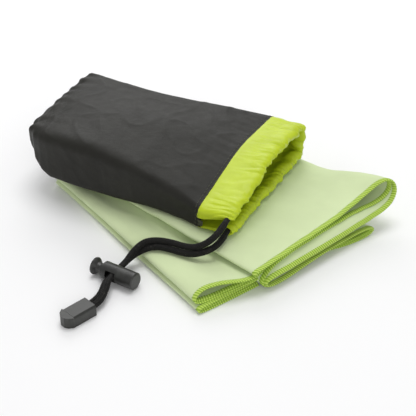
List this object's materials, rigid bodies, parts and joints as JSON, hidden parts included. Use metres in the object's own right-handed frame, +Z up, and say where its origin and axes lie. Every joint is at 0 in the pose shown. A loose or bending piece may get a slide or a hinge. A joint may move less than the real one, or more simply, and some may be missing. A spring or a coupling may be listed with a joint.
{
  "type": "quick dry towel",
  "caption": "Pleated quick-dry microfibre towel with an overlocked hem, lying under its drawstring storage pouch with a drawcord, a spring cord lock and a moulded cord end.",
  "frame": {"origin": "on the surface the towel lies on, under the middle of the towel and pouch together, with the loose drawcord and what is on it left out", "axes": "+X from the pouch's closed end to its mouth, +Y across the pouch away from its slit and loose drawcord, +Z up"},
  "size_m": [0.2166, 0.2173, 0.0485],
  "materials": {
    "towel_cloth": "suede-like microfibre, matt, pale lime green",
    "overlock_thread": "matt overlock thread, lime green",
    "pouch_nylon": "woven nylon with a soft sheen, charcoal black",
    "collar_nylon": "woven nylon with a soft sheen, bright lime",
    "dark_thread": "matt sewing thread, dark",
    "cord_braid": "round braided cord, matt black",
    "lock_plastic": "satin moulded plastic, charcoal",
    "spring_steel": "drawn wire"
  },
  "bodies": {
    "towel": {"towel": "towel_cloth", "towel_overlock_hem": "overlock_thread"},
    "pouch": {"pouch_body": "pouch_nylon", "pouch_end_seam": "pouch_nylon", "pouch_side_seam": "pouch_nylon", "collar_upper_lip": "collar_nylon", "collar_lower_lip": "collar_nylon", "collar_topstitch": "dark_thread", "slit_bartack": "dark_thread", "drawcord_tunnel_run": "cord_braid", "drawcord_upper_tail": "cord_braid", "drawcord_lower_tail": "cord_braid", "cord_end_base": "lock_plastic", "cord_end_knot": "cord_braid"},
    "cord_lock": {"lock_barrel": "lock_plastic", "lock_spring": "spring_steel"},
    "lock_button": {"lock_plunger": "lock_plastic"},
    "cord_end_lid": {"cord_end_lid": "lock_plastic"}
  },
  "joints": [
    {"name": "pouch_lift", "type": "slide", "parent": "towel", "child": "pouch", "axis": [0, 0, 1], "range_m": [0, 0.1]},
    {"name": "lock_slide", "type": "slide", "parent": "pouch", "child": "cord_lock", "axis": [0.0698, 0.9976, 0], "range_m": [-0.001, 0.003]},
    {"name": "lock_press", "type": "slide", "parent": "cord_lock", "child": "lock_button", "axis": [0.9976, -0.0698, 0], "range_m": [0, 0.0024], "stiffness_N_per_m": 600, "springref_m": -0.003, "deforming": ["lock_spring"]},
    {"name": "lid_hinge", "type": "hinge", "parent": "pouch", "child": "cord_end_lid", "pos_m": [-0.00796, -0.12574, 0.0067], "axis": [0.9511, -0.309, 0], "range_deg": [0, 100]}
  ]
}
